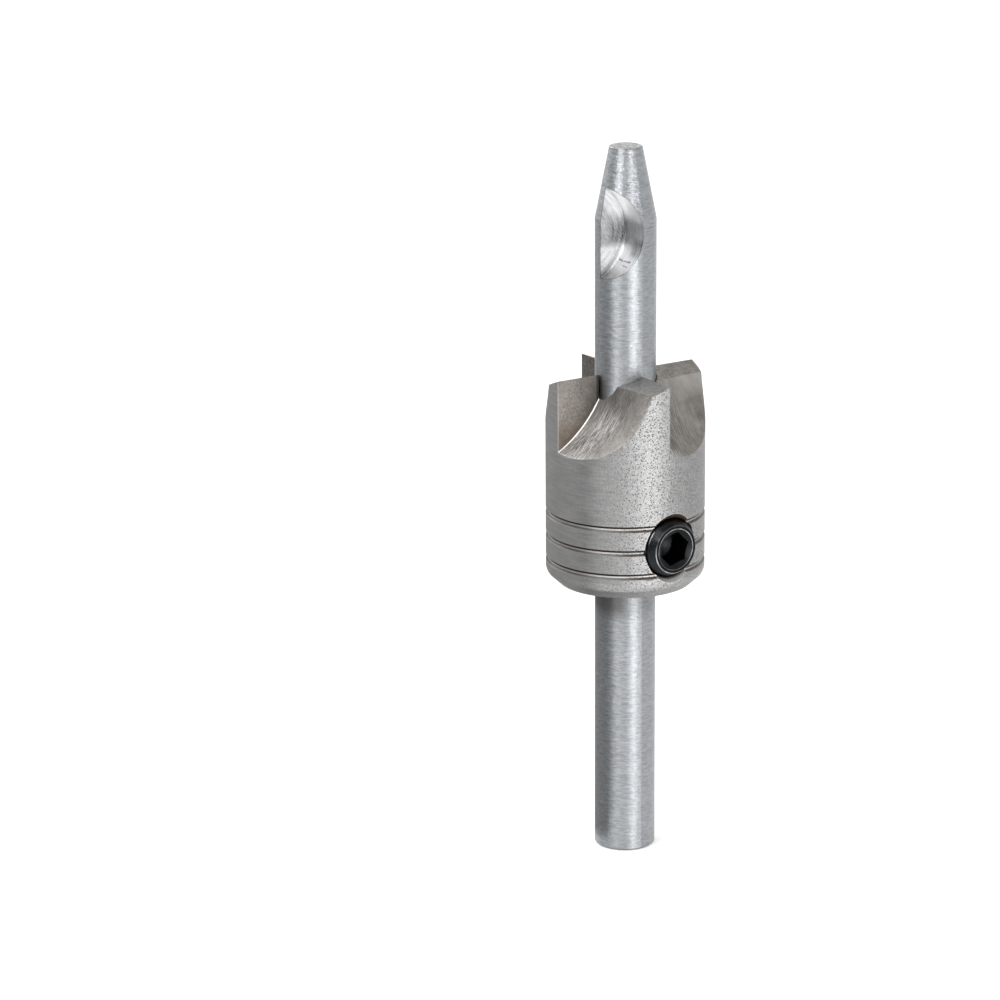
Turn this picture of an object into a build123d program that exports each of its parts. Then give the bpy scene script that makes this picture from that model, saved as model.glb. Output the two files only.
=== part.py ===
from build123d import *
from math import cos, radians, sin, sqrt, tan
import os

# Counterbore cutter that stands on the end of its shank, with its tip up.
# The origin is the centre of the shank's end face and +Z runs along the tool's axis to the tip.
# +X runs along one tooth's cutting face, and the set screw stands a few degrees from it.
# All sizes are in millimetres and all angles in degrees.

# Shaft: one turned rod that is shank, arbor and pilot
shaft_diameter = 8.0
shaft_length = 95.0
taper_length = 9.4
tip_diameter = 4.3
tip_rounding = 0.2
foot_chamfer = 0.3

# Gullet near the tip, whose flat face holds the shaft's axis
gullet_cutter_diameter = 13.3
gullet_below_tip = 10.85
gullet_turn = 1.2

# Flat that the set screw seats on
seat_flat_depth = 0.93
seat_flat_length = 9.0

# Cutter head
head_diameter = 20.9
head_length = 28.3
head_height = 36.9
bore_clearance = 0.12
bore_lead_in = 0.3

# Lower rim: a chamfer that runs into a slightly crowned edge
rim_chamfer_width = 1.35
rim_chamfer_height = 1.25
rim_crown_drop = 0.3
rim_crown_height = 0.95

# Turned grooves round the lower half of the head
groove_count = 3
groove_pitch = 3.2
groove_first_height = 3.3
groove_width = 0.8
groove_floor_width = 0.25
groove_depth = 0.3

# Teeth, cut by one milled flute in front of each
tooth_count = 4
land_relief_angle = 21.3
flute_cutter_radius = 15.7
flute_centre_radius = 17.9
flute_centre_rise = 4.3
flute_floor_tilt = 8.0

# Set screw with a hexagon socket, and its cross hole through the head's wall
screw_diameter = 7.8
screw_length = 8.0
screw_turn = 3.0
screw_above_head_base = 6.65
screw_end_diameter = 6.4
screw_end_chamfer_length = 1.35
screw_point_diameter = 5.5
screw_point_chamfer_length = 0.9
thread_clearance = 0.05
hole_mouth_diameter = 9.2
hole_mouth_depth = 0.65
socket_across_flats = 4.0
socket_depth = 3.5
socket_turn = 14.5
socket_mouth_diameter = 5.5
socket_mouth_angle = 120.0
socket_drill_diameter = 3.8
socket_drill_angle = 118.0

# Cutting bodies run past the surface that they cut by this much
overrun = 1.0

# Sizes that follow from the ones above
shaft_radius = shaft_diameter / 2
tip_radius = tip_diameter / 2
taper_base_height = shaft_length - taper_length
gullet_cutter_radius = gullet_cutter_diameter / 2
gullet_height = shaft_length - gullet_below_tip
head_radius = head_diameter / 2
bore_radius = shaft_radius + bore_clearance
tooth_top = head_height + head_length
rim_corner_radius = head_radius - rim_crown_drop
rim_base_radius = rim_corner_radius - rim_chamfer_width
rim_corner_height = head_height + rim_chamfer_height
rim_top_height = rim_corner_height + rim_crown_height
screw_radius = screw_diameter / 2
screw_height = head_height + screw_above_head_base
screw_seat = shaft_radius - seat_flat_depth
screw_end = screw_seat + screw_length
hole_radius = screw_radius + thread_clearance
hole_mouth_radius = hole_mouth_diameter / 2
socket_mouth_radius = socket_mouth_diameter / 2
socket_drill_radius = socket_drill_diameter / 2

# The flute's floor leaves the top of the head this far behind the next tooth's cutting face
flute_reach_at_top = flute_centre_radius - sqrt(flute_cutter_radius**2 - flute_centre_rise**2)
land_cut_width = flute_reach_at_top + overrun
land_cut_drop = land_cut_width * tan(radians(land_relief_angle))


# The set screw's own plane and line: its plane is upright, with its normal outwards along the screw
screw_normal = Vector(1, 0, 0).rotate(Axis.Z, screw_turn)
screw_across = Vector(0, 1, 0).rotate(Axis.Z, screw_turn)
screw_plane = Plane(origin=(0, 0, screw_height), x_dir=screw_across, z_dir=screw_normal)
screw_line = Axis(origin=(0, 0, screw_height), direction=screw_normal)

# Shaft: the turned outline and its two end edges first, then the screw's flat and the gullet
gullet_normal = Vector(1, 0, 0).rotate(Axis.Z, gullet_turn)
gullet_across = Vector(0, 1, 0).rotate(Axis.Z, gullet_turn)
gullet_face = Plane(origin=(0, 0, gullet_height), x_dir=gullet_across, z_dir=gullet_normal)

with BuildPart() as shaft:
    with BuildSketch(Plane.XZ):
        with BuildLine():
            Polyline(
                (0, 0),
                (shaft_radius, 0),
                (shaft_radius, taper_base_height),
                (tip_radius, shaft_length),
                (0, shaft_length),
                close=True,
            )
        make_face()
    revolve(axis=Axis.Z)
    rims = shaft.edges().filter_by(GeomType.CIRCLE).sort_by(Axis.Z)
    chamfer(rims[0], length=foot_chamfer)
    fillet(rims[-1], radius=tip_rounding)
    with BuildSketch(screw_plane.offset(screw_seat)):
        Rectangle(shaft_diameter, seat_flat_length)
    extrude(amount=shaft_radius, mode=Mode.SUBTRACT)
    with BuildSketch(gullet_face):
        with Locations((-gullet_cutter_radius, 0)):
            Circle(gullet_cutter_radius)
    extrude(amount=shaft_diameter, mode=Mode.SUBTRACT)
shaft.part.label = "shaft"


# One flute: a round cutter that stands on the plane of the cutting face and drops away from it
flute_direction = (0, cos(radians(flute_floor_tilt)), -sin(radians(flute_floor_tilt)))

with BuildPart() as flute:
    with BuildSketch(Plane.XZ):
        with Locations((flute_centre_radius, tooth_top + flute_centre_rise)):
            Circle(flute_cutter_radius)
    extrude(amount=head_radius + overrun, dir=flute_direction)

# One land: the wedge that is ground away behind a cutting edge
with BuildPart() as land_relief:
    with BuildSketch(Plane.YZ):
        with BuildLine():
            Polyline(
                (0, tooth_top),
                (-land_cut_width, tooth_top - land_cut_drop),
                (-land_cut_width, tooth_top + overrun),
                (0, tooth_top + overrun),
                close=True,
            )
        make_face()
    extrude(amount=head_radius + overrun)


# Cutter head: a turned blank with its grooves, the cross hole for the screw, then the teeth
groove_heights = [head_height + groove_first_height + groove_pitch * n for n in range(groove_count)]
groove_places = [(head_radius, height) for height in groove_heights]

with BuildPart() as cutter_head:
    with BuildSketch(Plane.XZ):
        with BuildLine():
            Line((bore_radius + bore_lead_in, head_height), (rim_base_radius, head_height))
            Line((rim_base_radius, head_height), (rim_corner_radius, rim_corner_height))
            TangentArc(
                (head_radius, rim_top_height),
                (rim_corner_radius, rim_corner_height),
                tangent=(0, -1),
            )
            Line((head_radius, rim_top_height), (head_radius, tooth_top))
            Line((head_radius, tooth_top), (bore_radius, tooth_top))
            Line((bore_radius, tooth_top), (bore_radius, head_height + bore_lead_in))
            Line((bore_radius, head_height + bore_lead_in), (bore_radius + bore_lead_in, head_height))
        make_face()
        with Locations(*groove_places):
            Polygon(
                (overrun, -groove_width / 2),
                (0, -groove_width / 2),
                (-groove_depth, -groove_floor_width / 2),
                (-groove_depth, groove_floor_width / 2),
                (0, groove_width / 2),
                (overrun, groove_width / 2),
                align=None,
                mode=Mode.SUBTRACT,
            )
    revolve(axis=Axis.Z)
    with BuildSketch(screw_plane):
        Circle(hole_radius)
    extrude(amount=head_radius + overrun, mode=Mode.SUBTRACT)
    with Locations(screw_plane.offset(head_radius - hole_mouth_depth)):
        Cone(
            bottom_radius=hole_radius,
            top_radius=hole_mouth_radius,
            height=hole_mouth_depth,
            align=(Align.CENTER, Align.CENTER, Align.MIN),
            mode=Mode.SUBTRACT,
        )
    with PolarLocations(0, tooth_count):
        add(flute.part, mode=Mode.SUBTRACT)
        add(land_relief.part, mode=Mode.SUBTRACT)
cutter_head.part.label = "cutter_head"


# Set screw: its flat point bears on the shaft's flat and its socket end stands proud of the head
with BuildPart() as set_screw:
    with BuildSketch(screw_plane.offset(screw_seat)):
        Circle(screw_radius)
    extrude(amount=screw_length)
    ends = set_screw.edges().filter_by(GeomType.CIRCLE).sort_by(screw_line)
    chamfer(
        ends[-1],
        length=screw_radius - screw_end_diameter / 2,
        length2=screw_end_chamfer_length,
        reference=set_screw.faces().sort_by(screw_line)[-1],
    )
    ends = set_screw.edges().filter_by(GeomType.CIRCLE).sort_by(screw_line)
    chamfer(
        ends[0],
        length=screw_radius - screw_point_diameter / 2,
        length2=screw_point_chamfer_length,
        reference=set_screw.faces().sort_by(screw_line)[0],
    )
    with BuildSketch(screw_plane.offset(screw_end)):
        RegularPolygon(socket_across_flats / 2, 6, major_radius=False, rotation=socket_turn)
    extrude(amount=-socket_depth, mode=Mode.SUBTRACT)
    with Locations(-screw_plane.offset(screw_end)):
        Cone(
            bottom_radius=socket_mouth_radius,
            top_radius=0,
            height=socket_mouth_radius / tan(radians(socket_mouth_angle / 2)),
            align=(Align.CENTER, Align.CENTER, Align.MIN),
            mode=Mode.SUBTRACT,
        )
    with Locations(-screw_plane.offset(screw_end - socket_depth)):
        Cone(
            bottom_radius=socket_drill_radius,
            top_radius=0,
            height=socket_drill_radius / tan(radians(socket_drill_angle / 2)),
            align=(Align.CENTER, Align.CENTER, Align.MIN),
            mode=Mode.SUBTRACT,
        )
set_screw.part.label = "set_screw"


os.makedirs("parts", exist_ok=True)
export_step(shaft.part, "parts/shaft.step")
export_step(cutter_head.part, "parts/cutter_head.step")
export_step(set_screw.part, "parts/set_screw.step")
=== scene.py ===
from math import cos, pi, radians, sin, sqrt, tan

import bmesh
import bpy
from mathutils import Matrix, Vector


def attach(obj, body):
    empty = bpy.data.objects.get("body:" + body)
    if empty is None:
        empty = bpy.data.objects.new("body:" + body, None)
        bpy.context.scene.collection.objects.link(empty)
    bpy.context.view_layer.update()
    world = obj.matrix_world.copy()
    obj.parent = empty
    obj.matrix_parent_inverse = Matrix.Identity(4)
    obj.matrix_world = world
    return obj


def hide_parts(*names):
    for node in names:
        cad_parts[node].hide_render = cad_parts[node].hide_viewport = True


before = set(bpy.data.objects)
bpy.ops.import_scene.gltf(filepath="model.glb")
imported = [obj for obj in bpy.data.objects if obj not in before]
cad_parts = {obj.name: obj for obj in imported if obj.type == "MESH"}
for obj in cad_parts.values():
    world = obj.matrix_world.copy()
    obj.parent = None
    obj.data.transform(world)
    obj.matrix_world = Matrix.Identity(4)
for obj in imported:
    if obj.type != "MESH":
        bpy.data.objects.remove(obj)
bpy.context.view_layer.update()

# Objects are in metres. The sizes of the tool below, and those inside the finishes, are in millimetres.
MM = 0.001


def heading(azimuth):
    """The level direction at an angle from +X, in degrees."""
    return Vector((cos(radians(azimuth)), sin(radians(azimuth)), 0))


# Camera: where it stands round the tool's axis, and how it is aimed
CAMERA_AZIMUTH = -33.5
CAMERA_ELEVATION = 16.16
CAMERA_DISTANCE = 588.3 * MM
CAMERA_TARGET = Vector((0, 0, 50 * MM))
CAMERA_PAN = 1.598
CAMERA_TILT = -0.2257
CAMERA_ROLL = -0.1028
SENSOR_WIDTH = 36.0
LENS = 161.55

# Light: the world's share on matt surfaces, the paper's reflectance, and its radius in metres
AMBIENT = 0.8
PAPER = 0.9
FLOOR_RADIUS = 3.0

# Cutter head: the surfaces that its finish is worked out from
HEAD_RADIUS = 10.45
BORE_RADIUS = 4.12
HEAD_BASE = 36.9
RIM_CORNER = 38.15
TOOTH_TOP = 65.2
TOOTH_COUNT = 4
TOOTH_THICKNESS = 3.2
LAND_ANGLE = 21.3
FLUTE_RADIUS = 15.7
FLUTE_CENTRE_RADIUS = 17.9
FLUTE_CENTRE_RISE = 4.3
FLUTE_CENTRE_HEIGHT = TOOTH_TOP + FLUTE_CENTRE_RISE
FLUTE_TILT = 8.0
FLUTE_FOOT = FLUTE_CENTRE_HEIGHT - sqrt(FLUTE_RADIUS**2 - (FLUTE_CENTRE_RADIUS - HEAD_RADIUS) ** 2)
GROOVE_HEIGHTS = (40.2, 43.4, 46.6)
GROOVE_HALF_FLOOR = 0.125
GROOVED_TOP = 50.0

# Where the head's turned side is smoothest, where the flute's painted highlight is brightest, and the land
# that is rubbed brightest
SMOOTH_SIDE = heading(-92)
FLUTE_HIGHLIGHT_SIDE = heading(-50)
RUBBED_LAND = heading(-12)

# Shaft
SHAFT_RADIUS = 4.0
SHAFT_LENGTH = 95.0
FOOT_CHAMFER = 0.3
TAPER_BASE = 85.6
TIP_RADIUS = 2.15
TIP_ROUNDING = 0.2
TAPER_SLOPE = (SHAFT_RADIUS - TIP_RADIUS) / (SHAFT_LENGTH - TAPER_BASE)
RING_SCRATCHES = (13.7, 23.3, 70.6, 84.9, 86.4, 90.2)

# Gullet near the tip: the round cutter's path, and the flat face that it leaves
GULLET_TURN = 1.2
GULLET_HEIGHT = 84.15
GULLET_RADIUS = 6.65
GULLET_OUT = heading(GULLET_TURN)
GULLET_ACROSS = heading(GULLET_TURN + 90)

# Set screw, along its own axis through the wall of the head
SCREW_TURN = 3.0
SCREW_HEIGHT = 43.55
SCREW_SEAT = 3.07
SCREW_END = 11.07
SCREW_RADIUS = 3.9
SCREW_END_RADIUS = 3.2
SCREW_END_CHAMFER = 1.35
SCREW_POINT_RADIUS = 2.75
SCREW_POINT_CHAMFER = 0.9
SCREW_EDGE = 0.05
SOCKET_MOUTH_RADIUS = 2.75
SOCKET_MOUTH_ANGLE = 120.0
SOCKET_HALF_WIDTH = 2.0
SOCKET_TURN = 14.5
SOCKET_DEPTH = 3.5
SOCKET_FLOOR = SCREW_END - SOCKET_DEPTH
SOCKET_DRILL_RADIUS = 1.9
SOCKET_DRILL_ANGLE = 118.0
HOLE_RADIUS = 3.95
HOLE_MOUTH_START = 9.8
SCREW_AXIS = heading(SCREW_TURN)
SCREW_ACROSS = heading(SCREW_TURN + 90)
UP = Vector((0, 0, 1))

# Directions across the screw's end, in degrees from its right-hand side, seen from outside
OUTER_RIM_LIT_MOST = 238
SOCKET_LIT_FROM = 150
RIM_LIT_FROM = 100

# Thread of the set screw: a 60 degree groove that fades out into the end chamfer
THREAD_PITCH = 1.25
THREAD_DEPTH = 0.7
THREAD_HALF_CREST = 0.08
THREAD_SLOPE = tan(radians(60))
THREAD_PHASE = 0.35
THREAD_FADE = 0.7
THREAD_PAST_CHAMFER = 0.2
STEPS_ROUND = 96
STEPS_ALONG = 200
MERGE_DISTANCE = 0.002
SHARP_ANGLE = 28

# Added to the distance from a surface where that surface isn't
FAR = 10.0

# Brown stains and painted shade on the head's steel
BROWN_FILM = (0.15, 0.11, 0.078, 1.0)
DEEP_BROWN_FILM = (0.10, 0.07, 0.05, 1.0)
GROOVE_SHADE = (0.045, 0.032, 0.023, 1.0)
GROOVE_STAIN = (0.10, 0.070, 0.048, 1.0)
MOUTH_STAIN_AND_SHADE = (0.13, 0.097, 0.072, 1.0)
MOUTH_SHADE = (0.035, 0.025, 0.018, 1.0)


class Value:
    """One socket of a node tree. An expression on values adds the Math nodes that work it out."""

    def __init__(self, nodes, socket):
        self.nodes = nodes
        self.socket = socket

    def math(self, operation, *others):
        sockets = {0: self, **dict(enumerate(others, 1))}
        return self.nodes.add("ShaderNodeMath", {"operation": operation}, sockets)

    def __add__(self, other):
        return self.math("ADD", other)

    def __radd__(self, other):
        return self.math("ADD", other)

    def __sub__(self, other):
        return self.math("SUBTRACT", other)

    def __rsub__(self, other):
        return self.math("MULTIPLY", -1.0) + other

    def __mul__(self, other):
        return self.math("MULTIPLY", other)

    def __rmul__(self, other):
        return self.math("MULTIPLY", other)

    def __truediv__(self, other):
        return self.math("DIVIDE", other)

    def __pow__(self, other):
        return self.math("POWER", other)

    def __abs__(self):
        return self.math("ABSOLUTE")

    def __lt__(self, other):
        return self.math("LESS_THAN", other)

    def __gt__(self, other):
        return self.math("GREATER_THAN", other)

    def least(self, other):
        return self.math("MINIMUM", other)

    def most(self, other):
        return self.math("MAXIMUM", other)

    def rise(self, start, end):
        """0 below start and 1 above end, with a smooth slope between them."""
        settings = {"interpolation_type": "SMOOTHSTEP"}
        sockets = {"Value": self, "From Min": start, "From Max": end}
        return self.nodes.add("ShaderNodeMapRange", settings, sockets)

    def fall(self, start, end):
        """1 below start and 0 above end, with a smooth slope between them."""
        return 1 - self.rise(start, end)

    def band(self, low, high, soft):
        """1 between low and high and 0 outside them, with soft ends."""
        return self.rise(low - soft, low + soft) * self.fall(high - soft, high + soft)


class Nodes:
    """The nodes of one tree, added by type with their settings and the values of their sockets."""

    def __init__(self, tree):
        self.tree = tree
        tree.nodes.clear()

    def add(self, kind, settings=None, sockets=None, output=0):
        node = self.tree.nodes.new(kind)
        for name, setting in (settings or {}).items():
            setattr(node, name, setting)
        for name, value in (sockets or {}).items():
            if isinstance(value, Value):
                self.tree.links.new(value.socket, node.inputs[name])
            else:
                node.inputs[name].default_value = value
        return Value(self, node.outputs[output]) if node.outputs else None

    def mix(self, share, first, second):
        """The first colour where share is 0 and the second where it is 1."""
        return self.add("ShaderNodeMix", {"data_type": "RGBA"}, {0: share, 6: first, 7: second}, output=2)

    def coats(self, colour, *coats):
        """A colour under further coats, each with its share and its colour, the last one on top."""
        for share, coat in coats:
            colour = self.mix(share, colour, coat)
        return colour

    def split(self, vector):
        """The three numbers of a vector."""
        outputs = self.add("ShaderNodeSeparateXYZ", {}, {0: vector}).socket.node.outputs
        return [Value(self, output) for output in outputs]

    def join(self, x, y, z):
        return self.add("ShaderNodeCombineXYZ", {}, {0: x, 1: y, 2: z})

    def noise(self, place, scale=1.0, detail=2.0, roughness=0.5, seed=0.0):
        """Fractal noise with a fixed seed, between 0 and 1."""
        sockets = {"Vector": place, "W": seed, "Scale": scale, "Detail": detail, "Roughness": roughness}
        return self.add("ShaderNodeTexNoise", {"noise_dimensions": "4D"}, sockets)

    def cells(self, place, scale):
        """How far a place is from the nearest of many scattered points."""
        return self.add("ShaderNodeTexVoronoi", {}, {"Vector": place, "Scale": scale}, output="Distance")

    def bump(self, height, depth, normal=None):
        """A normal for a height between 0 and 1, whose full depth is in millimetres."""
        sockets = {"Height": height, "Distance": depth * MM}
        if normal is not None:
            sockets["Normal"] = normal
        return self.add("ShaderNodeBump", {}, sockets)


def grey(level, warmth=0.0):
    """A near-neutral colour: positive warmth leans to brown and negative to blue."""
    return (level * (1 + warmth), level, level * (1 - warmth), 1.0)


def new_finish(name):
    material = bpy.data.materials.new(name)
    material.use_nodes = True
    return material, Nodes(material.node_tree)


def place_in_mm(nodes):
    """The object's own coordinates in millimetres, as a vector."""
    coordinates = nodes.add("ShaderNodeTexCoord", {}, {}, output="Object")
    return nodes.add("ShaderNodeVectorMath", {"operation": "SCALE"}, {0: coordinates, "Scale": 1 / MM})


def along(direction, x, y):
    """How far a place lies along a level direction."""
    return x * direction.x + y * direction.y


def round_screw(x, y, z):
    """How far a place lies along the set screw, to its right, above it, and from its axis."""
    sideways = along(SCREW_ACROSS, x, y)
    lift = z - SCREW_HEIGHT
    return along(SCREW_AXIS, x, y), sideways, lift, (sideways**2 + lift**2) ** 0.5


def smallest(values):
    result = values[0]
    for value in values[1:]:
        result = result.least(value)
    return result


def edge_distance(distances):
    """How far a point on one of these surfaces is from the nearest of the others."""
    pairs = [a.most(b) for i, a in enumerate(distances) for b in distances[i + 1:]]
    return smallest(pairs)


def colour_gullet(nodes, x, y, z, dents):
    """The gullet's colour with its painted light and shade, its milling marks, and where its flat face and
    the whole of it lie.
    """
    across = along(GULLET_ACROSS, x, y)
    outward = along(GULLET_OUT, x, y)
    arc = ((across + GULLET_RADIUS) ** 2 + (z - GULLET_HEIGHT) ** 2) ** 0.5
    wall = (abs(arc - GULLET_RADIUS) < 0.04) * (outward > 0)
    flat = (abs(outward) < 0.02) * (arc < GULLET_RADIUS)

    # Milling marks: arcs round the cutter's centre with a hatch, and fine lines across the wall
    arcs = nodes.noise(nodes.join(arc * 5.0, across * 0.25, z * 0.25), detail=3, roughness=0.7, seed=4)
    lines = nodes.noise(nodes.join(outward * 7.0, across * 0.5, z * 0.5), detail=3, roughness=0.7, seed=5)
    hatch_place = nodes.join((across + z) * 5.0, (across - z) * 0.9, 0.0)
    hatch = nodes.noise(hatch_place, roughness=0.6, seed=11)
    marks = (arcs * 0.6 + hatch * 0.4) * flat + (lines * 0.7 + dents * 0.3) * wall

    # Painted light and shade on the flat face, from its top to its bottom: painted light low down and at
    # the top by the wall, painted shade at the very bottom and in a band across the middle
    height = z - GULLET_HEIGHT + (arcs - 0.5) * 0.5
    by_wall = arc.rise(GULLET_RADIUS - 3.4, GULLET_RADIUS - 0.8)
    painted_light_below = height.fall(-2.6, -1.4) * height.rise(-5.4, -3.5)
    flat_shade = 0.35 + painted_light_below * 0.21 + height.rise(1.0, 2.6) * by_wall * 0.19
    flat_shade = flat_shade - height.fall(-5.8, -4.8) * 0.09
    flat_shade = flat_shade * (1 - height.band(-1.7, 0.8, 0.6) * by_wall * 0.40)

    # Painted light and shade on the round wall (lighter at its top and low down, darker towards its outer
    # side a little below the middle), and a painted highlight low in the corner between the two with a
    # painted shade line higher up in it
    bright = height.fall(-2.6, -1.4) * height.rise(-5.7, -4.5)
    wall_shade = 0.58 + bright * 0.31 + height.rise(0.8, 2.0) * 0.42
    wall_shade = wall_shade * (1 - outward.rise(1.4, 3.0) * height.band(-3.2, -1.0, 0.5) * 0.5)
    painted_corner_lines = arc.rise(GULLET_RADIUS - 0.30, GULLET_RADIUS - 0.02) * flat
    flat_shade = flat_shade + painted_corner_lines * bright * 0.45 - (painted_corner_lines > 0.6) * height.rise(-1.5, 0.0) * 0.22
    shade = flat_shade * flat + wall_shade * wall + (marks - 0.5) * 1.2

    # A wavy scratch across the lower wall with a short, fainter one below it, and a dark outer edge
    scratch = abs(height + 3.9 + (dents - 0.5) * 0.6).fall(0.02, 0.12) * (outward > 0.3) * (outward < 2.9)
    below_it = abs(height + 4.4 + (dents - 0.5) * 0.4).fall(0.03, 0.10) * (outward > 1.6) * (outward < 2.8)
    scratch = scratch.most(below_it * 0.6)
    inward = SHAFT_RADIUS - (z - TAPER_BASE).most(0.0) * TAPER_SLOPE - (x * x + y * y) ** 0.5
    shade = shade * (1 - scratch * 0.7) * (1 - inward.fall(0.04, 0.16) * 0.6)
    colour = nodes.add("ShaderNodeCombineColor", {}, {0: shade * 0.985, 1: shade * 0.99, 2: shade})
    return colour, marks, flat, wall.most(flat)


def finish_shaft():
    """Turned bright steel, with a milled gullet near the tip."""
    material, nodes = new_finish("shaft_steel")
    place = place_in_mm(nodes)
    x, y, z = nodes.split(place)
    taper = z.rise(TAPER_BASE - 0.2, TAPER_BASE + 0.2)
    end = z.rise(SHAFT_LENGTH - 0.08, SHAFT_LENGTH - 0.03)
    rounding_start = SHAFT_LENGTH - TIP_ROUNDING
    # Painted shade on the tip's rounded edge
    shaded_rounding = z.rise(rounding_start - 0.02, rounding_start + 0.04) * (1 - end)
    # Painted shade on the foot's chamfer
    chamfer = z.fall(FOOT_CHAMFER - 0.02, FOOT_CHAMFER + 0.06)

    # Turning marks: fine rings, coarser ones, blotches that break up the highlights, and scratches
    rings = nodes.noise(nodes.join(x * 0.25, y * 0.25, z * 3.4), detail=3, roughness=0.75, seed=1)
    coarse = nodes.noise(nodes.join(x * 0.1, y * 0.1, z * 0.9), roughness=0.6, seed=2)
    blotch = nodes.noise(nodes.join(x, y, z * 4.5), detail=3, roughness=0.75, seed=3)
    dents = nodes.noise(nodes.join(x * 1.5, y * 1.5, z * 2.0), detail=3, roughness=0.7, seed=10)
    turned = rings * 0.4 + coarse * 0.15 + blotch * 0.45
    broken = nodes.noise(place, 0.5, seed=9).rise(0.45, 0.62)
    nearest = smallest([abs(z + rings * 0.3 - height) for height in RING_SCRATCHES])
    scratches = nearest.fall(0.03, 0.14) * broken
    gullet_colour, milled, flat, gullet = colour_gullet(nodes, x, y, z, dents)

    # Colour: cool grey, darker in the scratches, with painted shade on the foot's chamfer and on the tip's
    # rounded edge, and under the head a brown mark that is partly oil and partly painted shade, strongest
    # on one side
    shade_under_head = z.rise(HEAD_BASE - 5.2, HEAD_BASE - 2.6) * (z < HEAD_BASE) * blotch.rise(0.2, 0.5)
    shaded_side = (along(SMOOTH_SIDE, x, y) / SHAFT_RADIUS).rise(0.4, 0.7)
    shine = (turned * 0.5 + blotch * 0.5).rise(0.38, 0.62)
    colour = nodes.coats(
        nodes.mix(shine, grey(0.280, -0.045), grey(0.405, -0.04)),
        (scratches * 0.4, grey(0.16, -0.02)),
        (shade_under_head * (0.3 + shaded_side * 0.4), grey(0.11, 0.08)),
        (end, nodes.mix(dents.rise(0.40, 0.60), grey(0.22, -0.03), grey(0.54, -0.03))),
        (shaded_rounding * 0.3, grey(0.12, -0.03)),
        (chamfer, grey(0.29, -0.03)),
    )

    turned_shader = nodes.add("ShaderNodeBsdfPrincipled", {}, {
        "Base Color": colour,
        "Metallic": 1.0,
        "Roughness": 0.36 + turned * 0.12 - taper * 0.035,
        "Anisotropic": 0.85,
        "Anisotropic Rotation": 0.25,
        "Normal": nodes.bump(turned * 0.4 + blotch * 0.5 + dents * taper * 0.6, 0.12),
    })
    plain_shader = nodes.add("ShaderNodeBsdfPrincipled", {}, {
        "Base Color": nodes.mix(gullet, colour, gullet_colour),
        "Metallic": 1.0,
        "Roughness": 0.28 + milled * 0.15 + end * 0.06 + flat * 0.27,
        "Normal": nodes.bump(milled * gullet + dents * end, 0.04),
    })
    shader = nodes.add("ShaderNodeMixShader", {}, {0: gullet.most(end), 1: turned_shader, 2: plain_shader})
    nodes.add("ShaderNodeOutputMaterial", {}, {"Surface": shader})
    return material


class HeadPlace:
    """A place on the cutter head: how far it is from each surface, and which surface it is on."""

    def __init__(self, nodes):
        self.place = place_in_mm(nodes)
        self.x, self.y, self.z = nodes.split(self.place)
        self.radius = (self.x * self.x + self.y * self.y) ** 0.5

        # The place folded into one quarter, where one tooth's cutting face is at v = 0
        inside = self.y.math("ARCTAN2", self.x).math("WRAP", 2 * pi / TOOTH_COUNT, 0.0)
        self.u = self.radius * inside.math("COSINE")
        self.v = self.radius * inside.math("SINE")

        # Distances from the turned side, the flute, the cutting faces and the land
        drop = self.v * tan(radians(FLUTE_TILT))
        below_flutes = (self.z < FLUTE_FOOT) * FAR
        off_land = (self.u > TOOTH_THICKNESS) * FAR
        self.side = HEAD_RADIUS - self.radius
        from_centre = self.u - FLUTE_CENTRE_RADIUS
        self.arc = (from_centre**2 + (self.z + drop - FLUTE_CENTRE_HEIGHT) ** 2) ** 0.5
        self.flute = abs(self.arc - FLUTE_RADIUS)
        rake = self.u.least(self.v) + below_flutes
        self.land = abs(self.z - TOOTH_TOP + self.u * tan(radians(LAND_ANGLE))) + off_land
        self.edge = edge_distance([self.side, self.flute, rake, self.land])
        root = self.u.most(self.flute).least(self.v.most(self.flute)) + below_flutes

        # Which surface the place is on, between 0 and 1
        on_side = self.side.fall(0.02, 0.05)
        self.on_flute = self.flute.fall(0.03, 0.06) * (1 - on_side)
        self.on_rake = rake.fall(0.01, 0.03) * (1 - on_side) * (1 - self.on_flute)
        self.on_land = self.land.fall(0.02, 0.04) * (1 - on_side)
        self.on_root = root.fall(0.04, 0.13) * (1 - on_side)
        inner_wall = self.side.rise(0.05, 0.1) * (self.z > GROOVED_TOP)
        self.milled = (self.on_flute + self.on_rake + self.on_land + inner_wall).least(1.0)

        # How near the place is to the smoothest side and to the front tooth
        self.smooth_side = along(SMOOTH_SIDE, self.x, self.y) / self.radius
        self.front_tooth = along(RUBBED_LAND, self.x, self.y).rise(3.0, 5.0)

        # The hole of the set screw and its conical mouth
        self.out, self.sideways, self.lift, from_axis = round_screw(self.x, self.y, self.z)
        self.from_screw = from_axis + (self.out < 0) * FAR
        self.beyond_mouth = self.from_screw - HOLE_RADIUS - (self.out - HOLE_MOUTH_START).most(0.0)


def finish_turned_side(nodes, at, grain):
    """Fine turning rings, a grain, and scattered pits that thin out towards the smoothest side."""
    rings = nodes.noise(nodes.join(at.x * 0.3, at.y * 0.3, at.z * 2.8), roughness=0.6, seed=1)
    sandy = at.smooth_side.fall(0.50, 0.92)
    pits = nodes.cells(at.place, 3.6).fall(0.17, 0.38) * sandy
    marks = rings * (0.5 - sandy * 0.3) + grain * (0.4 + sandy * 0.4)
    shine = marks.rise(0.3, 0.7)
    colour = nodes.coats(
        nodes.mix(shine, grey(0.22, 0.01), grey(0.36, 0.0)),
        (at.smooth_side.rise(0.86, 0.99), nodes.mix(shine, grey(0.36, 0.01), grey(0.50, 0.0))),
        (pits * 0.72, grey(0.08, 0.03)),
    )
    return colour, marks * (0.3 + sandy * 0.7) - pits * 0.5


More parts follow.
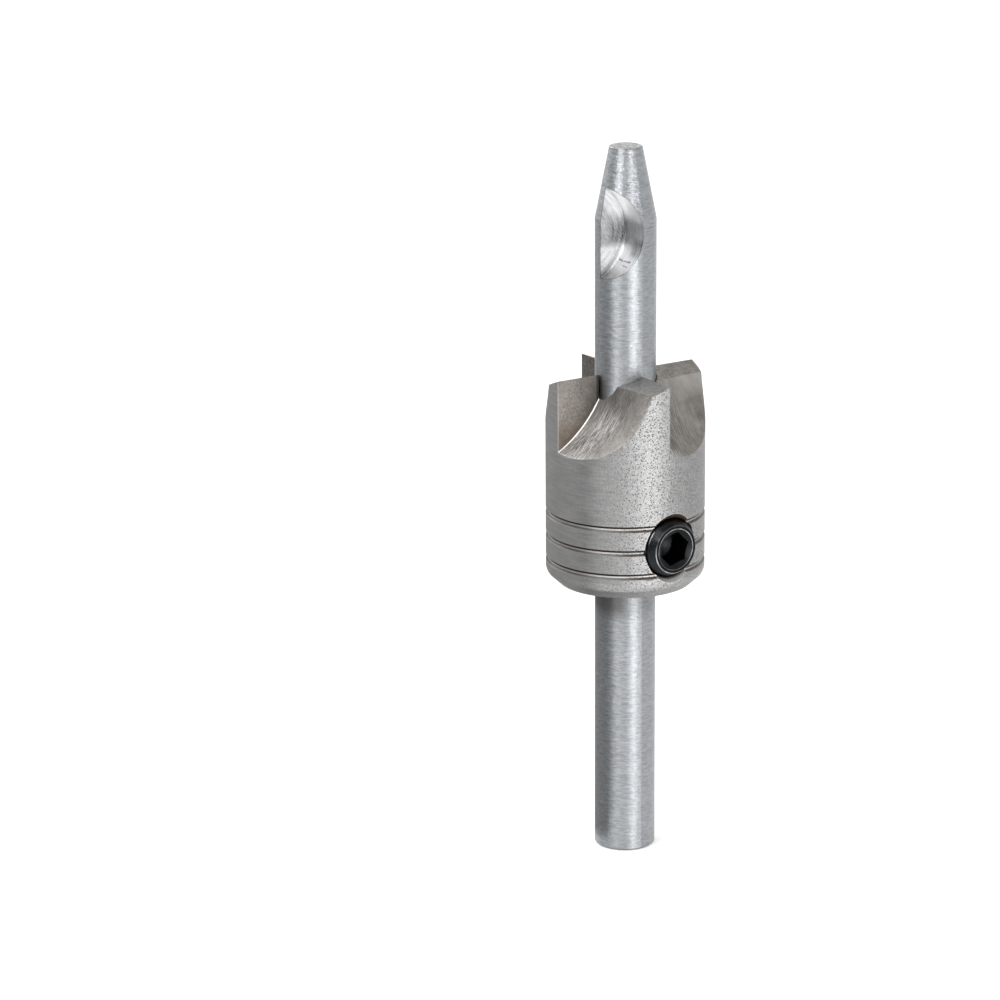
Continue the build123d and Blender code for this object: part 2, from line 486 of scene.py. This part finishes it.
def finish_milled_faces(nodes, at, grain, smudges):
    """Scratches along the cutter's path on the flutes, smudges on the cutting faces and lands, and painted
    light and shade on the flutes.
    """
    scratch_place = nodes.join(at.v * 11.0, at.u * 0.5, at.z * 0.5)
    scratches = nodes.noise(scratch_place, detail=3, roughness=0.8, seed=5)
    nicks = nodes.noise(nodes.join(at.v * 7.0, at.u * 0.9, at.z * 0.9), detail=3, roughness=0.7, seed=12)
    arcs = nodes.noise(nodes.join(at.arc * 5.0, at.u * 0.6, at.v * 0.6), roughness=0.6, seed=7)
    near_root = at.on_flute * at.v.fall(3.0, 9.0)
    elsewhere = (
        0.07
        + (at.on_flute + at.on_rake) * 0.08
        + smudges * (0.35 - at.on_rake * 0.15)
        + grain * (1 - at.on_flute) * 0.50
        + arcs * at.on_flute * 0.35
    )
    marks = scratches * near_root + elsewhere * (1 - near_root)

    # Cutting faces: darker towards the bore, and browner towards their foot
    by_bore = at.on_rake * at.radius.fall(4.0, 9.5)
    lower_part = (1 - at.on_flute) * at.z.fall(55.5, 63.0)
    rake_foot = at.on_rake * at.z.fall(57.0, 61.0)

    # Flutes: painted light at the top of the right one, painted shade in its lower corner
    painted_upper_wall = at.on_flute * at.z.rise(60.0, 63.5) * (1 - near_root) * (at.y > 0)
    shaded_lower_corner = at.on_flute * (at.y > 0) * at.v.fall(1.0, 3.4) * at.z.fall(57.0, 58.0)

    # Front flute: a painted highlight along its scratches near the root, grained with painted light near
    # the side, and painted shade behind the front land
    front_flute = at.on_flute * (at.y < 0) * (at.x > 0)
    painted_highlight = along(FLUTE_HIGHLIGHT_SIDE, at.x, at.y).rise(3.5, 6.5) * at.on_flute * at.v.fall(3.5, 9.0)
    highlight_colour = nodes.coats(
        nodes.mix(scratches.rise(0.40, 0.60), grey(0.25, 0.07), grey(0.86, 0.02)),
        (nicks.rise(0.49, 0.57) * 0.65, grey(0.09, 0.09)),
    )
    light_by_side = front_flute * at.side.fall(0.6, 3.2) * at.v.rise(4.0, 6.5)
    grained = (arcs * 0.4 + grain * 0.6).rise(0.34, 0.64)
    shade_behind_land = front_flute * at.u.fall(3.8, 5.2) * at.v.fall(5.5, 7.5) * at.v.rise(1.2, 3.0)
    front_land = at.front_tooth * at.on_land

    colour = nodes.coats(
        nodes.mix(marks.rise(0.38, 0.62), grey(0.13, 0.10), grey(0.29, 0.06)),
        (by_bore * 0.55, grey(0.07, 0.08)),
        (lower_part * 0.5, BROWN_FILM),
        (rake_foot * 0.4, DEEP_BROWN_FILM),
        (painted_upper_wall * 0.5, grey(0.38, 0.04)),
        (shaded_lower_corner * 0.6, grey(0.07, 0.06)),
        (painted_highlight, highlight_colour),
        (light_by_side * 0.8, nodes.mix(grained, grey(0.27, 0.06), grey(0.57, 0.05))),
        (shade_behind_land * 0.6, grey(0.11, 0.08)),
        (front_land * 0.9, nodes.mix(grain.rise(0.35, 0.62), grey(0.28, 0.04), grey(0.46, 0.03))),
    )
    return colour, marks


def colour_edges(nodes, at, smudges, colour):
    """Worn edges, a burr on the front tooth, a painted highlight along each flute's root, and painted shade
    beside the bore.
    """
    worn = at.edge.fall(0.01, 0.08) * smudges.rise(0.35, 0.6)
    burr = at.land.most(at.flute).fall(0.05, 0.14) * smudges.rise(0.3, 0.5) * at.front_tooth
    shade_beside_bore = at.on_rake * at.radius.fall(BORE_RADIUS + 0.18, BORE_RADIUS + 0.58)
    return nodes.coats(
        colour,
        (worn * 0.25, grey(0.45, 0.01)),
        (burr * 0.7, grey(0.07, 0.1)),
        (at.on_root * 0.9, grey(0.98)),
        (shade_beside_bore * 0.8, grey(0.02, 0.1)),
    )


def colour_grooves(nodes, at, colour):
    """Grooves: painted shade on the upper wall, a painted highlight along the floor, and a lower wall that
    is brown in patches.
    """
    groove_zone = at.z.band(HEAD_BASE + 2.5, GROOVED_TOP, 0.1) * (at.beyond_mouth > 0.05)
    in_groove = at.side.rise(0.01, 0.05) * groove_zone
    above = smallest([(at.z - height).math("WRAP", 20.0, -1.0) for height in GROOVE_HEIGHTS])
    painted_upper_wall = above.rise(0.02, 0.08) * in_groove
    floor = above.band(-GROOVE_HALF_FLOOR - 0.02, 0.04, 0.03) * in_groove
    lower_wall = above.fall(-GROOVE_HALF_FLOOR - 0.05, -GROOVE_HALF_FLOOR - 0.02) * in_groove

    beside_screw = at.from_screw.fall(6.0, 7.4)
    beyond_screw = at.sideways.rise(2.5, 5.0) * (at.out > 0)
    far_side = at.smooth_side.rise(0.75, 0.96)
    floor_highlight = floor * 0.8 * (1 - beside_screw * 0.6) * (1 - far_side * 0.7) * (1 - beyond_screw * 0.65)
    patches = nodes.noise(at.place, 0.35, detail=3, roughness=0.6, seed=8).rise(0.45, 0.6)
    stain = (patches * 0.35).most(beside_screw)
    return nodes.coats(
        colour,
        (painted_upper_wall, GROOVE_SHADE),
        (floor_highlight, grey(0.62, 0.02)),
        (lower_wall * (1 - beside_screw), nodes.mix(far_side, grey(0.19, 0.02), grey(0.12, 0.05))),
        (lower_wall * stain * 0.8, GROOVE_STAIN),
    )


def colour_screw_hole(nodes, at, colour):
    """The mouth of the screw's hole: lighter below with painted light, brown above with a stain and painted
    shade, painted shade close to the hole and inside it, and light along its lip.
    """
    outer_end = at.out > HOLE_MOUTH_START
    in_mouth = abs(at.beyond_mouth).fall(0.03, 0.05) * outer_end
    lip = at.beyond_mouth.band(0.05, 0.16, 0.03) * outer_end
    shade_by_hole = at.from_screw.fall(HOLE_RADIUS + 0.05, HOLE_RADIUS + 0.35)
    hole = abs(at.from_screw - HOLE_RADIUS).fall(0.02, 0.04) * (1 - in_mouth)
    mouth_colour = nodes.coats(
        grey(0.46, 0.02),
        (at.lift.rise(-1.0, 1.0), MOUTH_STAIN_AND_SHADE),
        (shade_by_hole * 0.9, MOUTH_SHADE),
    )
    return nodes.coats(
        colour,
        (lip * 0.4, grey(0.5, 0.02)),
        (in_mouth, mouth_colour),
        (hole, grey(0.01)),
    )


def finish_head():
    """Turned and milled tool steel: a pitted turned side, and brown-tinged milled faces."""
    material, nodes = new_finish("head_steel")
    at = HeadPlace(nodes)
    grain = nodes.noise(at.place, 3.4, detail=3, roughness=0.8, seed=3)
    smudges = nodes.noise(at.place, 0.7, detail=4, roughness=0.7, seed=6)
    side_colour, side_relief = finish_turned_side(nodes, at, grain)
    milled_colour, milled_marks = finish_milled_faces(nodes, at, grain, smudges)
    colour = nodes.mix(at.milled, side_colour, milled_colour)
    colour = colour_edges(nodes, at, smudges, colour)
    colour = colour_grooves(nodes, at, colour)
    colour = colour_screw_hole(nodes, at, colour)

    # Lower rim: a rubbed crown above a chamfer darkened with painted shade
    crown = at.z.band(RIM_CORNER, RIM_CORNER + 1.0, 0.1)
    chamfer = at.z.fall(RIM_CORNER - 0.1, RIM_CORNER + 0.1)
    colour = nodes.coats(
        colour,
        (crown * grain.rise(0.35, 0.6) * 0.35, grey(0.50, 0.01)),
        (chamfer * 0.2, grey(0.12, 0.03)),
    )

    relief = side_relief * (1 - at.milled) + milled_marks * at.milled
    edges = at.edge.rise(0.0, 0.10) * (1 - at.on_root) + at.on_root * 5.0
    normal = nodes.bump(edges, 0.025, nodes.bump(relief, 0.06))
    sockets = {"Base Color": colour, "Metallic": 1.0, "Normal": normal}
    turned_shader = nodes.add("ShaderNodeBsdfPrincipled", {}, {
        **sockets,
        "Roughness": 0.50 + grain * 0.06,
        "Anisotropic": 0.3,
        "Anisotropic Rotation": 0.25,
    })
    milled_shader = nodes.add("ShaderNodeBsdfPrincipled", {}, {
        **sockets,
        "Roughness": 0.40 + milled_marks * 0.12,
    })
    shader = nodes.add("ShaderNodeMixShader", {}, {0: at.milled, 1: turned_shader, 2: milled_shader})
    nodes.add("ShaderNodeOutputMaterial", {}, {"Surface": shader})
    return material


def finish_screw():
    """Black oxide on the set screw, with painted highlights along its edges."""
    material, nodes = new_finish("black_oxide")
    place = place_in_mm(nodes)
    out, sideways, lift, radius = round_screw(*nodes.split(place))
    grain = nodes.noise(place, 4.0, detail=3, roughness=0.6, seed=1)
    smears = nodes.noise(place, 1.1, detail=3, roughness=0.6, seed=2)

    def towards(angle):
        """1 in a direction from the screw's axis and -1 in the opposite one."""
        return (sideways * cos(radians(angle)) + lift * sin(radians(angle))) / radius

    # The end face: the ring between its two rims, painted highlights on the rims themselves, painted light
    # on the lower left of the cone, and the socket with painted light on its upper left
    at_end = out.rise(SCREW_END - 0.14, SCREW_END - 0.06)
    ring = radius.band(SOCKET_MOUTH_RADIUS, SCREW_END_RADIUS, 0.02) * at_end
    outer_rim_highlight = radius.band(SCREW_END_RADIUS - 0.07, SCREW_END_RADIUS + 0.03, 0.02) * at_end
    inner_rim_highlight = radius.band(SOCKET_MOUTH_RADIUS - 0.05, SOCKET_MOUTH_RADIUS + 0.04, 0.02) * at_end
    lit_cone = radius.rise(SCREW_END_RADIUS + 0.03, SCREW_END_RADIUS + 0.1)
    socket = radius.fall(SOCKET_MOUTH_RADIUS - 0.08, SOCKET_MOUTH_RADIUS - 0.04)

    # Painted shade in the gap beside the hole, and a painted highlight on the first thread crest
    shaded_crevice = radius.rise(SCREW_RADIUS - 0.16, SCREW_RADIUS - 0.10)
    shaded_crevice = shaded_crevice * out.fall(SCREW_END - 1.0, SCREW_END - 0.9)
    crest_highlight = radius.band(SCREW_RADIUS - 0.19, SCREW_RADIUS - 0.14, 0.02)

    low_left = towards(OUTER_RIM_LIT_MOST)
    high_left = towards(SOCKET_LIT_FROM)
    high = towards(RIM_LIT_FROM)
    painted_highlight = 0.45 + smears.rise(0.35, 0.65) * 0.55
    colour = nodes.coats(
        nodes.mix(grain.rise(0.3, 0.7), grey(0.008, -0.08), grey(0.023, -0.08)),
        (smears.rise(0.45, 0.65) * 0.4, grey(0.050, -0.06)),
        (ring * 0.85, grey(0.009, -0.05)),
        (outer_rim_highlight * painted_highlight * (0.12 + low_left.rise(0.1, 0.95) * 0.75), grey(0.7, -0.01)),
        (inner_rim_highlight * painted_highlight * (0.18 + high.rise(-0.3, 0.6) * 0.62), grey(0.6, -0.01)),
        (lit_cone * low_left.rise(0.2, 0.9) * 0.6, grey(0.05, -0.1)),
        (socket * 0.75, nodes.mix(high_left.rise(0.6, 0.95), grey(0.012, -0.05), grey(0.042, -0.05))),
        (shaded_crevice, grey(0.004)),
        (crest_highlight * high_left.rise(0.96, 0.99) * 0.5, grey(0.4, -0.01)),
    )

    shader = nodes.add("ShaderNodeBsdfPrincipled", {}, {
        "Base Color": colour,
        "Metallic": 1.0,
        "Roughness": 0.34 + grain * 0.12,
        "Normal": nodes.bump(grain, 0.012),
    })
    nodes.add("ShaderNodeOutputMaterial", {}, {"Surface": shader})
    return material


def socket_radius(angle):
    """How far the hexagon's wall is from the screw's axis at an angle round it."""
    from_corner = (angle - radians(SOCKET_TURN)) % (pi / 3)
    return SOCKET_HALF_WIDTH / cos(from_corner - pi / 6)


def build_socket():
    """The socket, the end face and the flat point of the screw, as rings round the axis.

    The screw lies along Z here, in millimetres. Its threaded wall goes between the last two rings.
    """
    mouth_slope = 1 / tan(radians(SOCKET_MOUTH_ANGLE / 2))
    drill_depth = SOCKET_DRILL_RADIUS / tan(radians(SOCKET_DRILL_ANGLE / 2))
    rings = (
        lambda angle: (SOCKET_DRILL_RADIUS, SOCKET_FLOOR),
        lambda angle: (socket_radius(angle), SOCKET_FLOOR),
        lambda angle: (
            socket_radius(angle),
            SCREW_END - (SOCKET_MOUTH_RADIUS - socket_radius(angle)) * mouth_slope,
        ),
        lambda angle: (SOCKET_MOUTH_RADIUS - SCREW_EDGE, SCREW_END - SCREW_EDGE * mouth_slope),
        lambda angle: (SOCKET_MOUTH_RADIUS + SCREW_EDGE, SCREW_END),
        lambda angle: (SCREW_END_RADIUS - SCREW_EDGE, SCREW_END),
        lambda angle: (SCREW_END_RADIUS, SCREW_END - SCREW_EDGE),
        lambda angle: (SCREW_POINT_RADIUS, SCREW_SEAT),
    )
    mesh = bpy.data.meshes.new("socket")
    build = bmesh.new()
    rows = []
    for ring in rings:
        row = []
        for step in range(STEPS_ROUND):
            angle = radians(SOCKET_TURN) + 2 * pi * step / STEPS_ROUND
            radius, height = ring(angle)
            row.append(build.verts.new((radius * cos(angle), radius * sin(angle), height)))
        rows.append(row)
    for row, following in zip(rows[:-2], rows[1:-1]):
        for i in range(STEPS_ROUND):
            j = (i + 1) % STEPS_ROUND
            build.faces.new((row[i], row[j], following[j], following[i]))
    for row, height in ((rows[0], SOCKET_FLOOR - drill_depth), (rows[-1], SCREW_SEAT)):
        centre = build.verts.new((0, 0, height))
        for i in range(STEPS_ROUND):
            build.faces.new((row[i], row[(i + 1) % STEPS_ROUND], centre))
    build.to_mesh(mesh)
    build.free()
    return mesh


def thread_nodes():
    """Geometry nodes that add the threaded wall to the socket: a grid wrapped round the Z axis."""
    tree = bpy.data.node_groups.new("threaded_wall", "GeometryNodeTree")
    tree.interface.new_socket("Geometry", in_out="INPUT", socket_type="NodeSocketGeometry")
    for name in ("Radius", "Pitch", "Depth", "Top", "Bottom"):
        tree.interface.new_socket(name, in_out="INPUT", socket_type="NodeSocketFloat")
    tree.interface.new_socket("Material", in_out="INPUT", socket_type="NodeSocketMaterial")
    tree.interface.new_socket("Geometry", in_out="OUTPUT", socket_type="NodeSocketGeometry")
    nodes = Nodes(tree)
    given = nodes.add("NodeGroupInput").socket.node.outputs
    given = [Value(nodes, output) for output in given[:7]]
    socket_part, radius, pitch, depth, top, bottom, material = given

    sizes = {"Size X": 1.0, "Size Y": 1.0, "Vertices X": STEPS_ALONG + 1, "Vertices Y": STEPS_ROUND + 1}
    grid = nodes.add("GeometryNodeMeshGrid", {}, sizes)
    across, round_axis, _ = nodes.split(nodes.add("GeometryNodeInputPosition"))
    height = bottom + (across + 0.5) * (top - bottom)
    angle = round_axis * (2 * pi) + radians(SOCKET_TURN)

    # The groove's depth at a place, faded out near the top, then the two chamfers
    along_pitch = height - pitch * round_axis + THREAD_PHASE
    from_crest = abs(along_pitch.math("WRAP", pitch * 0.5, pitch * -0.5))
    groove = ((from_crest - THREAD_HALF_CREST) * THREAD_SLOPE).most(0.0).least(depth)
    cone_base = top + SCREW_EDGE - SCREW_END_CHAMFER
    fade = (cone_base + THREAD_PAST_CHAMFER - height) / THREAD_FADE
    groove = groove * fade.most(0.0).least(1.0)
    end_slope = (SCREW_RADIUS - SCREW_END_RADIUS) / (SCREW_END_CHAMFER - SCREW_EDGE)
    point_slope = (SCREW_RADIUS - SCREW_POINT_RADIUS) / SCREW_POINT_CHAMFER
    end_cone = SCREW_END_RADIUS + (top - height) * end_slope
    point_cone = SCREW_POINT_RADIUS + (height - bottom) * point_slope
    reach = smallest([radius - groove, end_cone, point_cone])
    position = nodes.join(reach * angle.math("COSINE"), reach * angle.math("SINE"), height)
    wall = nodes.add("GeometryNodeSetPosition", {}, {"Geometry": grid, "Position": position})

    whole = nodes.add("GeometryNodeJoinGeometry", {}, {0: socket_part})
    tree.links.new(wall.socket, whole.socket.node.inputs[0])
    sockets = {"Geometry": whole, "Distance": MERGE_DISTANCE}
    merged = nodes.add("GeometryNodeMergeByDistance", {}, sockets)
    real = nodes.add("GeometryNodeRealizeInstances", {}, {"Geometry": merged})
    finished = nodes.add("GeometryNodeSetMaterial", {}, {"Geometry": real, "Material": material})
    nodes.add("NodeGroupOutput", {}, {0: finished})
    return tree


def build_screw(finish):
    """The set screw with its thread, in place of the plain one."""
    blank = bpy.data.objects.new("screw_blank", build_socket())
    bpy.context.scene.collection.objects.link(blank)
    tree = thread_nodes()
    inputs = {
        "Radius": SCREW_RADIUS,
        "Pitch": THREAD_PITCH,
        "Depth": THREAD_DEPTH,
        "Top": SCREW_END - SCREW_EDGE,
        "Bottom": SCREW_SEAT,
        "Material": finish,
    }
    modifier = blank.modifiers.new("thread", "NODES")
    modifier.node_group = tree
    for item in tree.interface.items_tree:
        if item.in_out == "INPUT" and item.name in inputs:
            modifier[item.identifier] = inputs[item.name]
    evaluated = blank.evaluated_get(bpy.context.evaluated_depsgraph_get())
    mesh = bpy.data.meshes.new_from_object(evaluated)
    bpy.data.objects.remove(blank)

    # The doubles are merged and the faces turned outwards, then the screw is put in its hole
    shell = bmesh.new()
    shell.from_mesh(mesh)
    bmesh.ops.remove_doubles(shell, verts=shell.verts, dist=MERGE_DISTANCE)
    bmesh.ops.recalc_face_normals(shell, faces=shell.faces)
    shell.to_mesh(mesh)
    shell.free()
    turn = Matrix((SCREW_ACROSS, UP, SCREW_AXIS)).transposed().to_4x4()
    mesh.transform(Matrix.Translation(UP * SCREW_HEIGHT * MM) @ turn @ Matrix.Scale(MM, 4))
    mesh.shade_smooth()
    mesh.set_sharp_from_angle(angle=radians(SHARP_ANGLE))
    screw = bpy.data.objects.new("threaded_screw", mesh)
    bpy.context.scene.collection.objects.link(screw)
    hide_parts("set_screw")
    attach(screw, "root")


def seen_directly(nodes):
    """1 for rays from the camera, from a reflection or through glass, and 0 for light on matt surfaces."""
    path = nodes.add("ShaderNodeLightPath").socket.node.outputs
    camera, glossy, through = [
        Value(nodes, path[name]) for name in ("Is Camera Ray", "Is Glossy Ray", "Is Transmission Ray")
    ]
    return camera.most(glossy).most(through)


def finish_floor():
    """Pale matt paper, very slightly mottled, that reads as white where it is looked at."""
    material, nodes = new_finish("studio_paper")
    mottle = nodes.noise(place_in_mm(nodes), 0.05, seed=1)
    colour = nodes.mix(mottle, grey(PAPER - 0.01), grey(PAPER + 0.01))
    paper = nodes.add("ShaderNodeBsdfDiffuse", {}, {"Color": colour})
    glow = nodes.add("ShaderNodeEmission", {}, {"Strength": seen_directly(nodes) * (1 - AMBIENT * PAPER)})
    shader = nodes.add("ShaderNodeAddShader", {}, {0: paper, 1: glow})
    nodes.add("ShaderNodeOutputMaterial", {}, {"Surface": shader})
    return material


def aim_camera():
    """Puts the camera at its fitted place, then turns its view by the pan, the tilt and the roll."""
    elevation = radians(CAMERA_ELEVATION)
    back = heading(CAMERA_AZIMUTH) * cos(elevation) + UP * sin(elevation)
    right = heading(CAMERA_AZIMUTH + 90)
    up = back.cross(right)
    aim = Matrix.Rotation(radians(CAMERA_TILT), 3, right) @ Matrix.Rotation(radians(CAMERA_PAN), 3, up)
    forward = aim @ -back
    aim = Matrix.Rotation(radians(CAMERA_ROLL), 3, forward) @ aim
    axes = Matrix((aim @ right, aim @ up, -forward)).transposed()
    data = bpy.data.cameras.new("camera")
    data.sensor_width = SENSOR_WIDTH
    data.lens = LENS
    data.clip_start = 0.01
    data.clip_end = 100.0
    camera = bpy.data.objects.new("camera", data)
    camera.matrix_world = Matrix.Translation(CAMERA_TARGET + back * CAMERA_DISTANCE) @ axes.to_4x4()
    bpy.context.scene.collection.objects.link(camera)
    bpy.context.scene.camera = camera


def add_softbox(name, azimuth, elevation, distance, width, height, brightness):
    """A soft rectangular lamp that faces the tool, at an angle to the right of the camera.

    Its brightness is that of its own surface.
    """
    data = bpy.data.lights.new(name, "AREA")
    data.shape = "RECTANGLE"
    data.size = width
    data.size_y = height
    data.energy = brightness * pi * width * height
    lamp = bpy.data.objects.new(name, data)
    level = heading(CAMERA_AZIMUTH + azimuth) * cos(radians(elevation))
    place = CAMERA_TARGET + (level + UP * sin(radians(elevation))) * distance
    facing = (place - CAMERA_TARGET).to_track_quat("Z", "Y").to_matrix().to_4x4()
    lamp.matrix_world = Matrix.Translation(place) @ facing
    lamp.visible_camera = False
    bpy.context.scene.collection.objects.link(lamp)


def add_dark_cove(name, first_azimuth, last_azimuth, inner_radius, outer_radius, height, level):
    """A dark sheet that lies on the floor beside the tool and turns up at its outer edge.

    Only the steel's reflections show it.
    """
    steps = 24
    above_floor = 1 * MM
    profile = ((inner_radius, above_floor), (outer_radius, above_floor), (outer_radius, height))
    mesh = bpy.data.meshes.new(name)
    build = bmesh.new()
    rows = []
    for step in range(steps + 1):
        turned = first_azimuth + (last_azimuth - first_azimuth) * step / steps
        direction = heading(CAMERA_AZIMUTH + turned)
        rows.append([build.verts.new(direction * radius + UP * z) for radius, z in profile])
    for row, following in zip(rows, rows[1:]):
        for i in range(len(profile) - 1):
            build.faces.new((row[i], row[i + 1], following[i + 1], following[i]))
    build.to_mesh(mesh)
    build.free()
    material, nodes = new_finish(name)
    shader = nodes.add("ShaderNodeBsdfDiffuse", {}, {"Color": grey(level)})
    nodes.add("ShaderNodeOutputMaterial", {}, {"Surface": shader})
    mesh.materials.append(material)
    cove = bpy.data.objects.new(name, mesh)
    cove.visible_camera = False
    cove.visible_diffuse = False
    cove.visible_transmission = False
    cove.visible_shadow = False
    bpy.context.scene.collection.objects.link(cove)


def light_world():
    """White where the camera, the steel's reflections or glass look, and a plain level as light."""
    world = bpy.data.worlds.new("studio")
    world.use_nodes = True
    bpy.context.scene.world = world
    nodes = Nodes(world.node_tree)
    strength = AMBIENT + seen_directly(nodes) * (1 - AMBIENT)
    background = nodes.add("ShaderNodeBackground", {}, {"Color": grey(1.0), "Strength": strength})
    nodes.add("ShaderNodeOutputWorld", {}, {"Surface": background})


def add_floor():
    """A round sheet of pale paper that the tool stands on."""
    mesh = bpy.data.meshes.new("floor")
    build = bmesh.new()
    bmesh.ops.create_circle(build, cap_ends=True, segments=96, radius=FLOOR_RADIUS)
    build.to_mesh(mesh)
    build.free()
    floor = bpy.data.objects.new("floor", mesh)
    mesh.materials.append(finish_floor())
    bpy.context.scene.collection.objects.link(floor)


aim_camera()
light_world()
add_floor()

# Lamps and the dark sheet, placed by their angle to the right of the camera, in degrees and metres
add_softbox("key_softbox", 34, -6, distance=0.22, width=0.076, height=0.055, brightness=17.2)
add_softbox("fill_softbox", -36, 41, distance=0.2, width=0.04, height=0.08, brightness=17.0)
add_softbox("side_softbox", -138, 33, distance=0.5, width=0.32, height=0.28, brightness=2.7)
add_dark_cove("side_cove", -46, -158, inner_radius=0.005, outer_radius=0.095, height=0.08, level=0.34)

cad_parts["shaft"].material_slots[0].material = finish_shaft()
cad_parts["cutter_head"].material_slots[0].material = finish_head()
build_screw(finish_screw())

bpy.context.scene.view_settings.view_transform = "Standard"
